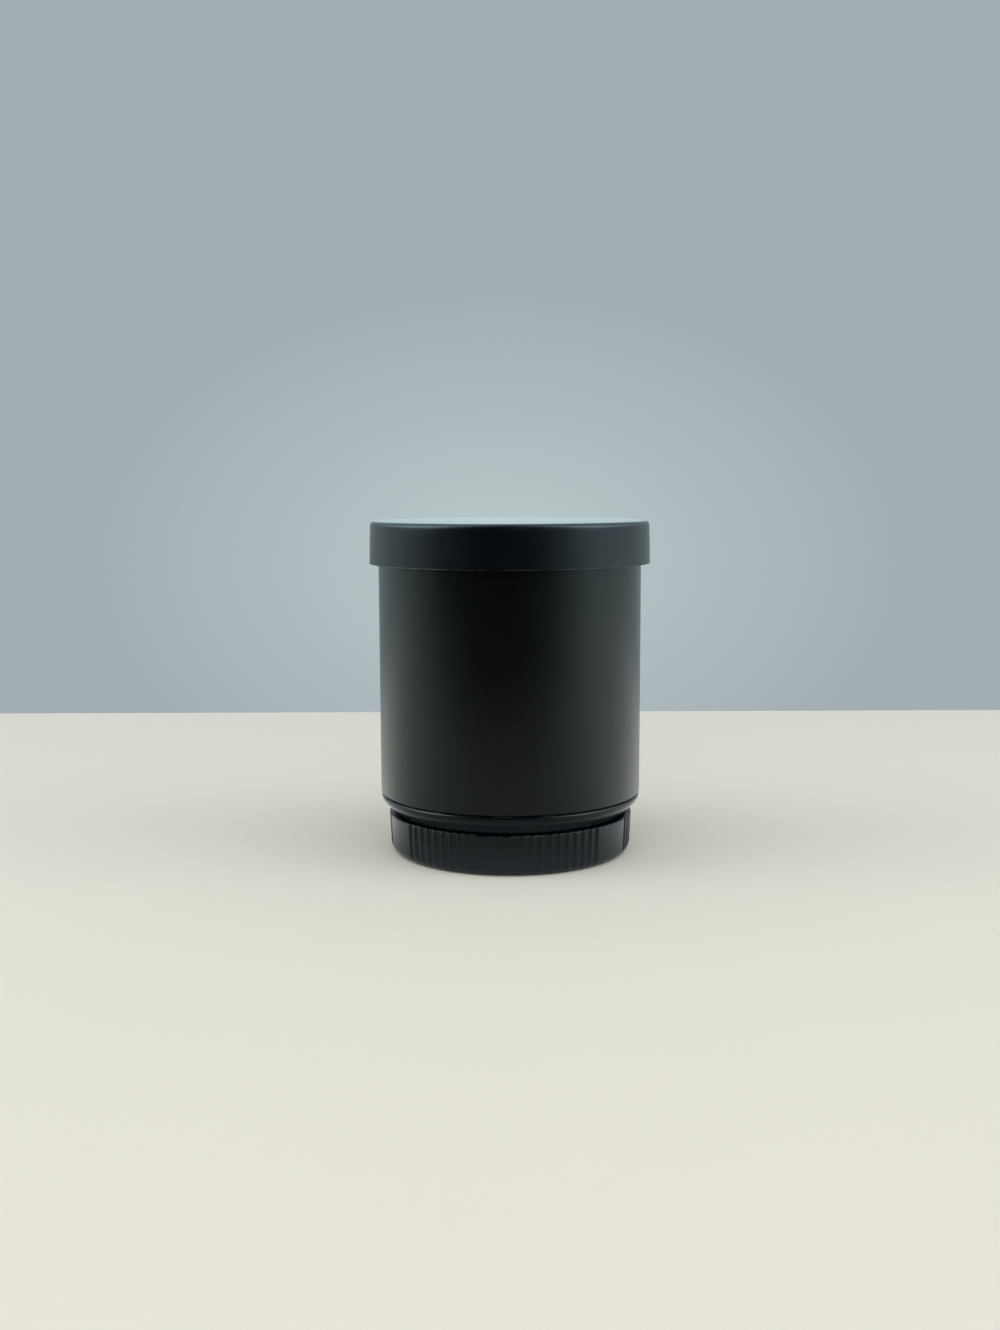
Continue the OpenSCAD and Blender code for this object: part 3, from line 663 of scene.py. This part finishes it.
def makeRearCap():
    c = rearCap
    gripSection = [(c["joinFootR"], 0), (c["floorR"] - c["footRound"], 0)]
    gripSection += arc(c["floorR"] - c["footRound"], c["footRound"], c["footRound"], -84, 0, 14)
    gripSection += [(c["floorR"] + (c["rimR"] - c["floorR"]) * 0.5, (c["footRound"] + c["height"]) / 2)]
    gripSection += arc(c["rimR"] - c["rimRound"], c["height"] - c["rimRound"], c["rimRound"], 0, 90, 7)
    gripSection += [(c["joinTopR"], c["height"])]
    columns = c["groups"] * c["steps"] * c["columnsPerPitch"]
    grip = turnPiece("rearCap", gripSection, columns)
    pickOnly(grip)
    grip.rotation_euler = (0, 0, math.radians(c["turn"]))  # columns line up with the grooves
    bpy.ops.object.transform_apply(location=True, rotation=True, scale=True)
    pressGrooves(grip)
    softenEdges(grip, c["soften"], 1)
    body = turnPiece("rearCapInside", [
        (c["joinTopR"] - c["joinW"], c["height"]), (c["mouthR"] + c["mouthEase"], c["height"]),
        (c["mouthR"], c["height"] - c["mouthH"])],
        mountThread["columns"])
    floor = turnPiece("rearCapFloor", [
        (c["boreR"], c["threadLowZ"] - c["threadEnd"]), (c["boreR"], c["floor"] + c["floorEase"]),
        (c["boreR"] - c["floorEase"], c["floor"]), (0, c["floor"])], mountThread["columns"])
    foot = turnPiece("rearCapFoot", [
        (0, c["dish"]), (c["dishR"] - c["dishEase"], c["dish"]), (c["dishR"], c["dish"] - c["footEase"]),
        (c["dishR"], c["footEase"]), (c["dishR"] + c["footEase"], 0),
        (c["joinFootR"] - c["joinW"], 0)], mountThread["columns"])
    lowZ = onThreadGrid(c["threadLowZ"], c["phaseZ"])
    highZ = onThreadGrid(c["threadHighZ"], c["phaseZ"])
    thread = makeThread("capThread", c["threadCrestR"], c["threadRootR"], lowZ, highZ, c["phaseZ"])
    piece = joinPieces([grip, body, floor, foot, thread])
    closeRims(piece, -rimReach / 2, rimReach / 2, fill)
    closeRims(piece, c["height"] - rimReach / 2, c["height"] + rimReach / 2, fill)
    closeRims(piece, c["threadHighZ"] - rimReach, c["height"] - rimReach / 2, bridge)
    closeRims(piece, c["threadLowZ"] - c["threadEnd"] - rimReach / 2, c["threadLowZ"] + rimReach, bridge)
    mergeDoubles(piece)
    finishPiece(piece, "rear_cap", "rear_cap", rearCapPlastic)


makeRearCap()


# front ring with the female thread
frontRing = {"r": 23.55, "faceZ": 62.6, "seatZ": 55.6, "chamfer": 0.3, "crestR": 20.594, "rootR": 21.0,
             "reliefR": 21.05, "threadZ": 56.6, "leadInZ": 62.2, "leadInR": 21.12, "grubZ": 59.0,
             "grubR": 1.0, "grubGroove": 0.45, "slotW": 2.2, "slotDepth": 0.8, "slotInnerR": 21.594,
             "phaseZ": 0.2, "soften": 0.04}


def spannerSlots(piece, innerR, outerR, lowZ, highZ, width):
    def makeSlot(name):
        return boxTool(name, (innerR, -width / 2, lowZ), (outerR, width / 2, highZ))
    combine(piece, turnedCopies(makeSlot, piece.name + "Slot", 2, 0), "DIFFERENCE")


def makeFrontRing():
    f = frontRing
    lowZ = onThreadGrid(f["threadZ"], f["phaseZ"])
    highZ = onThreadGrid(f["leadInZ"], f["phaseZ"])
    body = turnPiece("frontRing", [
        (f["leadInR"], f["faceZ"]), (f["r"] - f["chamfer"], f["faceZ"]), (f["r"], f["faceZ"] - f["chamfer"]),
        (f["r"], f["grubZ"] + f["grubR"] + f["grubGroove"]),
        (f["r"] - f["grubGroove"], f["grubZ"] + f["grubR"]),
        (f["r"] - f["grubGroove"], f["grubZ"] - f["grubR"]),
        (f["r"], f["grubZ"] - f["grubR"] - f["grubGroove"]),
        (f["r"], f["seatZ"]), (f["reliefR"], f["seatZ"]), (f["reliefR"], lowZ)], mountThread["columns"])
    softenEdges(body, f["soften"])
    thread = makeThread("femaleThread", f["crestR"], f["rootR"], lowZ, highZ, f["phaseZ"])
    piece = joinPieces([body, thread])
    closeRims(piece, f["leadInZ"] - rimReach, f["faceZ"] + rimReach, bridge)
    closeRims(piece, lowZ - rimReach, lowZ + rimReach, fill)
    mergeDoubles(piece)
    spannerSlots(piece, f["slotInnerR"], f["r"] + toolOver, f["faceZ"] - f["slotDepth"],
                 f["faceZ"] + toolOver, f["slotW"])
    finishPiece(piece, "converter", "front_mount_ring", cellBlack)


makeFrontRing()


# grub screws through the barrel's front end
grub = {"r": 1.0, "innerR": 23.15, "outerR": 25.3, "z": 59.0, "count": 3, "socketR": 0.55,
        "socketDepth": 1.1, "sides": 32, "edgeInset": 0.14, "pointInset": 0.4, "cupInset": 0.2,
        "cupDepth": 0.3, "soften": 0.1}


def makeGrubScrews():
    def makeGrub(name):
        length = grub["outerR"] - grub["innerR"]
        middle = (grub["outerR"] + grub["innerR"]) / 2
        screw = addRod(name, grub["sides"], grub["r"], length, (middle, 0, grub["z"]))
        bpy.ops.object.transform_apply(location=True, rotation=True, scale=True)
        # broken edge outside, cup point inside
        for side, inset, push in ((1, grub["edgeInset"], 0), (-1, grub["pointInset"], grub["cupDepth"])):
            mesh = editPiece(screw, "FACE")
            for face in mesh.faces:
                face.select = face.normal.x * side > facing
            bmesh.update_edit_mesh(screw.data)
            bpy.ops.mesh.inset(thickness=inset * mm)
            if push:
                bpy.ops.mesh.inset(thickness=grub["cupInset"] * mm)
                bpy.ops.transform.translate(value=(push * mm, 0, 0))
            bpy.ops.object.mode_set(mode="OBJECT")
        softenEdges(screw, grub["soften"])
        place = (grub["outerR"], 0, grub["z"])
        socket = addRod("hexSocket", 6, grub["socketR"], 2 * grub["socketDepth"], place)
        combine(screw, socket, "DIFFERENCE")
        return screw

    piece = turnedCopies(makeGrub, "frontRingScrew", grub["count"], 90)
    piece.name = piece.data.name = "frontRingScrews"
    finishPiece(piece, "converter", "front_ring_screws", screwSteel, 40)


makeGrubScrews()


# lens cell: flanged tube with seats for the glass
lensCell = {"boreR": 17.05, "outerR": 18.95, "frontZ": 56.002, "rearZ": 30.178, "rearBoreR": 15.55,
            "seatR": 14.9, "seatLowZ": 34.931, "seatHighZ": 35.82, "frontRingR": 17.6, "frontRingZ": 54.202,
            "rearRingR": 16.1, "rearRingZ": 32.178, "flangeR": 22.55, "flangeLowZ": 52.85,
            "flangeHighZ": 54.05, "chamfer": 0.95, "soften": 0.08}


def makeLensCell():
    n = lensCell
    section = [(n["rearBoreR"], n["seatLowZ"]), (n["seatR"], n["seatLowZ"]), (n["seatR"], n["seatHighZ"]),
               (n["boreR"], n["seatHighZ"]), (n["boreR"], n["frontRingZ"]),
               (n["frontRingR"], n["frontRingZ"]), (n["frontRingR"], n["frontZ"]),
               (n["outerR"], n["frontZ"]), (n["outerR"], n["flangeHighZ"]),
               (n["flangeR"], n["flangeHighZ"]), (n["flangeR"], n["flangeLowZ"]),
               (n["outerR"], n["flangeLowZ"]), (n["outerR"], n["rearZ"] + n["chamfer"]),
               (n["outerR"] - n["chamfer"], n["rearZ"]), (n["rearRingR"], n["rearZ"]),
               (n["rearRingR"], n["rearRingZ"]), (n["rearBoreR"], n["rearRingZ"])]
    piece = turnPiece("lensCell", closed(section))
    softenEdges(piece, n["soften"])
    finishPiece(piece, "converter", "lens_cell", cellBlack)


makeLensCell()


# ring that locks the cell's flange
lockRing = {"innerR": 19.0, "outerR": 22.55, "lowZ": 54.05, "highZ": 55.55, "slotW": 2.2, "slotDepth": 0.8,
            "chamfer": 0.2, "soften": 0.05}


def makeLockRing():
    k = lockRing
    piece = turnPiece("cellLockRing", closed([
        (k["innerR"], k["lowZ"]), (k["outerR"], k["lowZ"]), (k["outerR"], k["highZ"] - k["chamfer"]),
        (k["outerR"] - k["chamfer"], k["highZ"]), (k["innerR"] + k["chamfer"], k["highZ"]),
        (k["innerR"], k["highZ"] - k["chamfer"])]))
    spannerSlots(piece, k["innerR"] - toolOver, k["outerR"] + toolOver,
                 k["highZ"] - k["slotDepth"], k["highZ"] + toolOver, k["slotW"])
    softenEdges(piece, k["soften"])
    finishPiece(piece, "converter", "cell_lock_ring", cellBlack)


makeLockRing()


# ring over the front element, its mouth stepped against glare
frontRetainer = {"innerR": 15.6, "mouthR": 16.3, "outerR": 17.55, "lowZ": 54.202, "highZ": 55.802,
                 "mouthZ": 55.002, "steps": 4, "slotW": 2.2, "slotDepth": 0.8, "stepLean": 0.03,
                 "soften": 0.03}


def makeFrontRetainer():
    t = frontRetainer
    section = [(t["innerR"], t["lowZ"]), (t["outerR"], t["lowZ"]), (t["outerR"], t["highZ"])]
    stepR = (t["mouthR"] - t["innerR"]) / t["steps"]
    stepZ = (t["highZ"] - t["mouthZ"]) / t["steps"]
    for i in range(t["steps"]):
        section += [(t["mouthR"] - i * stepR, t["highZ"] - i * stepZ),
                    (t["mouthR"] - i * stepR - t["stepLean"], t["highZ"] - (i + 1) * stepZ)]
    section += [(t["innerR"], t["mouthZ"])]
    piece = turnPiece("frontRetainer", closed(section))
    spannerSlots(piece, t["innerR"] - toolOver, t["outerR"] + toolOver,
                 t["highZ"] - t["slotDepth"], t["highZ"] + toolOver, t["slotW"])
    softenEdges(piece, t["soften"], 1)
    finishPiece(piece, "converter", "front_retaining_ring", mattBlack)


makeFrontRetainer()


# ring under the rear element, its slots cut from below
rearRetainer = {"innerR": 14.1, "mouthR": 14.8, "outerR": 16.05, "highZ": 32.178, "lowZ": 30.378,
                "mouthZ": 31.278, "slotW": 2.2, "slotDepth": 0.8, "soften": 0.05}


def makeRearRetainer():
    t = rearRetainer
    piece = turnPiece("rearRetainer", closed([
        (t["innerR"], t["highZ"]), (t["innerR"], t["mouthZ"]), (t["mouthR"], t["lowZ"]),
        (t["outerR"], t["lowZ"]), (t["outerR"], t["highZ"])]))
    spannerSlots(piece, t["innerR"] - toolOver, t["outerR"] + toolOver,
                 t["lowZ"] - toolOver, t["lowZ"] + t["slotDepth"], t["slotW"])
    softenEdges(piece, t["soften"])
    finishPiece(piece, "converter", "rear_retaining_ring", mattBlack)


makeRearRetainer()


# light baffle: its inside is grooved to trap stray light
baffle = {"rearR": 18.5, "frontR": 17.5, "rearZ": 17.5, "frontZ": 29.878, "flangeR": 22.95, "flangeZ": 18.0,
          "outerRearR": 19.7, "outerFrontR": 18.5, "grooves": 24, "grooveDepth": 0.22, "plainEnd": 0.5,
          "grooveFall": 0.3, "endEase": 0.03, "columns": 160}


def makeBaffle():
    g = baffle
    section = [(g["rearR"], g["rearZ"]), (g["flangeR"], g["rearZ"]), (g["flangeR"], g["flangeZ"]),
               (g["outerRearR"], g["flangeZ"]), (g["outerFrontR"], g["frontZ"]), (g["frontR"], g["frontZ"])]
    step = (g["frontZ"] - g["rearZ"] - 2 * g["plainEnd"]) / g["grooves"]
    for i in range(g["grooves"]):
        z = g["frontZ"] - g["plainEnd"] - i * step
        along = (g["frontZ"] - z) / (g["frontZ"] - g["rearZ"])
        r = g["frontR"] + (g["rearR"] - g["frontR"]) * along
        section += [(r, z), (r + g["grooveDepth"], z - step * g["grooveFall"])]
    section += [(g["rearR"] - g["endEase"], g["rearZ"] + g["plainEnd"])]
    piece = turnPiece("rearBaffle", closed(section), g["columns"])
    finishPiece(piece, "converter", "rear_baffle", mattBlack)


makeBaffle()


# glass: each face is an arc of (height at the axis, radius, which way it falls), turned round the axis
glass = {"columns": 128, "soften": 0.06}


def sag(ballR, r):
    return ballR - math.sqrt(ballR * ballR - r * r)


def faceArc(face, edgeR, steps=20):
    z, ballR, way = face
    return [(edgeR * i / steps, z + way * sag(ballR, edgeR * i / steps)) for i in range(steps + 1)]


def makeElement(name, node, element):
    front = faceArc(element["front"], element.get("frontEdgeR", element["rimR"]))
    rear = faceArc(element["rear"], element.get("rearEdgeR", element["rimR"]))
    section = front
    if "frontEdgeR" in element:
        section = section + [(element["rimR"], front[-1][1])]
    if "rearEdgeR" in element:
        section = section + [(element["rimR"], rear[-1][1])]
    piece = turnPiece(name, section + rear[::-1], glass["columns"])
    softenEdges(piece, glass["soften"], 1)
    finishPiece(piece, "converter", node, coatedGlass)


frontElement = {"rimR": 17.0, "front": (55.2, 120, -1), "rear": (52.8, 35.4, -1), "rearEdgeR": 15.6}
pairFrontElement = {"rimR": 17.0, "front": (47.3, 70, -1), "rear": (39.7, 36, 1)}
pairRearElement = {"rimR": 17.0, "front": (39.68, 36, 1), "rear": (37.48, 75, -1), "rearEdgeR": 15.6}
rearElement = {"rimR": 15.5, "front": (34.08, 120, 1), "frontEdgeR": 14.1, "rear": (30.08, 48, 1)}
makeElement("frontElement", "front_element", frontElement)
makeElement("pairFrontElement", "pair_front_element", pairFrontElement)
makeElement("pairRearElement", "pair_rear_element", pairRearElement)
makeElement("rearElement", "rear_element", rearElement)

# camera, floor and light
shot = {"place": (-0.00195, -0.28335, 0.07215), "pitch": 90 - 7.18, "roll": -0.2, "lens": 39.30, "sensor": 36}
deselectAll()
aimed = Matrix.Rotation(math.radians(shot["pitch"]), 3, "X")
aimed = aimed @ Matrix.Rotation(math.radians(shot["roll"]), 3, "Z")
bpy.ops.object.camera_add(location=shot["place"], rotation=aimed.to_euler())
camera = bpy.context.object
camera.data.lens = shot["lens"]
camera.data.sensor_width = shot["sensor"]
bpy.context.scene.camera = camera

# the room in front of the table is dark, which shows only in what shines: as seen in glossy rays the paper is
# painted dark ahead of the object, a painted shade
table = {"front": -0.45, "back": 0.171, "half": 0.45, "rear": (0.715, 0.72, 0.67),
         "near": (0.85, 0.835, 0.755), "mottle": 0.04, "darkTurn": -8.5, "darkStart": 0.09, "darkEnd": 0.15,
         "darkLevel": 0.02, "dim": 0.14, "tint": (0.93, 1.0, 0.98),
         "round": [(-180, 0.0), (-157, 0.03), (-114, 0.90), (-77, 0.62), (-56, 0.28), (-30, 0.06),
                   (0, 0.05), (20, 0.06), (36, 0.24), (77, 1.10), (114, 0.92), (157, 0.02), (180, 0.0)],
         "glowNear": 0.022, "glowFar": 0.044, "roughness": 0.75, "shine": 0.2, "paintedFalloff": 0.17,
         "fibre": (45, 45, 45), "fibreDetail": 6.0, "spot": (0.45, 0.45, 0.43)}


def rampNode(tree, value, stops, tint):  # stops run from half a turn left to half a turn right
    node = addNode(tree, "ShaderNodeValToRGB")
    ramp = node.color_ramp
    while len(ramp.elements) < len(stops):
        ramp.elements.new(0.5)
    for element, (place, level) in zip(ramp.elements, stops):
        element.position = place / halfTurn / 2 + 0.5
        element.color = (level * tint[0], level * tint[1], level * tint[2], 1)
    tree.links.new(value, node.inputs["Fac"])
    return node.outputs["Color"]


def compassNode(tree, across, along):  # 0.5 towards the camera, more to the right
    turn = mathNode(tree, "ARCTAN2", across, mathNode(tree, "MULTIPLY", along, -1))
    return mathNode(tree, "ADD", mathNode(tree, "DIVIDE", turn, fullTurn), 0.5)


def makeTable():
    deselectAll()
    bpy.ops.mesh.primitive_plane_add(size=1)
    piece = bpy.context.object
    piece.name = "table"
    depth = table["back"] - table["front"]
    piece.scale = (2 * table["half"], depth, 1)
    piece.location = (0, table["front"] + depth / 2, 0)
    bpy.ops.object.transform_apply(location=True, rotation=True, scale=True)
    finish, tree, shader = startFinish("tablePaper")
    shader.inputs["Roughness"].default_value = table["roughness"]
    shader.inputs["Specular IOR Level"].default_value = table["shine"]
    place, parts = placeParts(tree)
    # the paper is painted lighter towards the front and darker towards the back: painted light falloff
    paintedFalloff = rangeNode(tree, parts[1], table["paintedFalloff"], -table["paintedFalloff"])
    paper = mixColour(tree, paintedFalloff, table["rear"], table["near"])
    fibre = placeGroup(tree, surfaceGrain, Stretch=table["fibre"], Detail=table["fibreDetail"])
    spots = mathNode(tree, "MULTIPLY", fibre["Height"], table["mottle"])
    paper = mixColour(tree, spots, paper, table["spot"])
    turn = math.radians(table["darkTurn"])
    ahead = mathNode(tree, "SUBTRACT", mathNode(tree, "MULTIPLY", parts[0], math.sin(turn)),
                     mathNode(tree, "MULTIPLY", parts[1], math.cos(turn)))
    # painted shade: in glossy rays the paper turns dark ahead of the object
    ray = addNode(tree, "ShaderNodeLightPath")
    dark = rangeNode(tree, ahead, table["darkStart"], table["darkEnd"], table["dim"])
    shaded = mathNode(tree, "MULTIPLY", dark, ray.outputs["Is Glossy Ray"])
    tree.links.new(mixColour(tree, shaded, paper, (table["darkLevel"],) * 3), shader.inputs["Base Color"])
    # painted reflected light: in glossy rays the paper glows by compass angle, bright at the sides and fading
    # near the object, though it is no lamp
    compass = compassNode(tree, parts[0], parts[1])
    glow = rampNode(tree, compass, table["round"], table["tint"])
    away = rangeNode(tree, vectorNode(tree, "LENGTH", place), table["glowNear"], table["glowFar"])
    shown = mathNode(tree, "MULTIPLY", away, ray.outputs["Is Glossy Ray"])
    tree.links.new(mixColour(tree, shown, (0.0, 0.0, 0.0), glow), shader.inputs["Emission Color"])
    shader.inputs["Emission Strength"].default_value = 1.0
    piece.data.materials.append(finish)


makeTable()


softbox = {"left": (-0.70, -0.14, 0.50), "right": (0.68, -0.20, 0.50), "size": (0.50, 0.50), "power": 1.2,
           "colour": (1.0, 0.98, 0.945), "aim": (0, 0, 0.04)}


def addSoftbox(name, place):
    deselectAll()
    bpy.ops.object.light_add(type="AREA", location=place)
    lamp = bpy.context.object
    lamp.name = name
    lamp.data.shape = "RECTANGLE"
    lamp.data.size, lamp.data.size_y = softbox["size"]
    lamp.data.energy = softbox["power"]
    lamp.data.color = softbox["colour"]
    aim = Vector(softbox["aim"]) - Vector(place)
    lamp.rotation_euler = aim.to_track_quat("-Z", "Y").to_euler()


addSoftbox("leftSoftbox", softbox["left"])
addSoftbox("rightSoftbox", softbox["right"])

# the studio round the object by compass angle from the front: dim in front, bright at the sides, paler behind
studio = {"tint": (0.80, 1.0, 1.05), "windowLow": 0.15, "windowHigh": 0.38,
          "low": [(-180, 0.70), (-164, 0.57), (-150, 0.60), (-112, 1.08), (-88, 0.85), (-72, 0.34),
                  (-60, 0.03), (0, 0.012), (22, 0.04), (42, 0.40), (62, 1.40), (78, 1.80), (112, 1.06),
                  (150, 0.62), (164, 0.57), (180, 0.70)],
          "high": [(-180, 0.60), (-140, 0.90), (-112, 3.2), (-92, 6.4), (-74, 6.0), (-62, 0.7), (-42, 0.02),
                   (0, 0.02), (25, 0.1), (45, 1.0), (66, 5.0), (92, 4.2), (135, 0.90), (180, 0.60)],
          "plainTint": (1.0, 0.99, 0.965),
          "plain": [(-180, 0.38), (-110, 0.53), (-60, 0.92), (0, 1.46), (60, 0.92), (110, 0.53),
                    (180, 0.38)],
          "wall": (0.362, 0.420, 0.443), "wallGlow": (0.475, 0.555, 0.57), "glowAt": (0.0, 0.9985, -0.054),
          "glowShape": (1.0, 1.0, 1.5), "glowSize": (0.05, 0.27)}


def makeStudio():
    world = bpy.data.worlds.new("studio")
    bpy.context.scene.world = world
    world.use_nodes = True
    tree = world.node_tree
    tree.nodes.clear()
    toSky, parts = placeParts(tree, "Generated")
    compass = compassNode(tree, parts[0], parts[1])
    high = rangeNode(tree, parts[2], studio["windowLow"], studio["windowHigh"])
    shine = mixColour(tree, high, rampNode(tree, compass, studio["low"], studio["tint"]),
                      rampNode(tree, compass, studio["high"], studio["tint"]))
    plain = rampNode(tree, compass, studio["plain"], studio["plainTint"])
    # the wall is brighter behind the object
    off = vectorNode(tree, "SUBTRACT", toSky, studio["glowAt"])
    away = vectorNode(tree, "LENGTH", vectorNode(tree, "MULTIPLY", off, studio["glowShape"]))
    wall = mixColour(tree, rangeNode(tree, away, *studio["glowSize"]), studio["wallGlow"], studio["wall"])
    ray = addNode(tree, "ShaderNodeLightPath")
    light = mixColour(tree, ray.outputs["Is Glossy Ray"], plain, shine)
    seen = addNode(tree, "ShaderNodeBackground")
    tree.links.new(mixColour(tree, ray.outputs["Is Camera Ray"], light, wall), seen.inputs["Color"])
    tree.links.new(seen.outputs[0], addNode(tree, "ShaderNodeOutputWorld").inputs["Surface"])


makeStudio()
bpy.context.scene.view_settings.view_transform = "Standard"
print("studio ready")

nodeFinishes = {"lens_spacer": cellBlack, "light_stop": mattBlack, "cell_shim": shimBrass}
for nodeName, finish in nodeFinishes.items():
    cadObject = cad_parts[nodeName]
    for slot in cadObject.material_slots:
        slot.material = finish
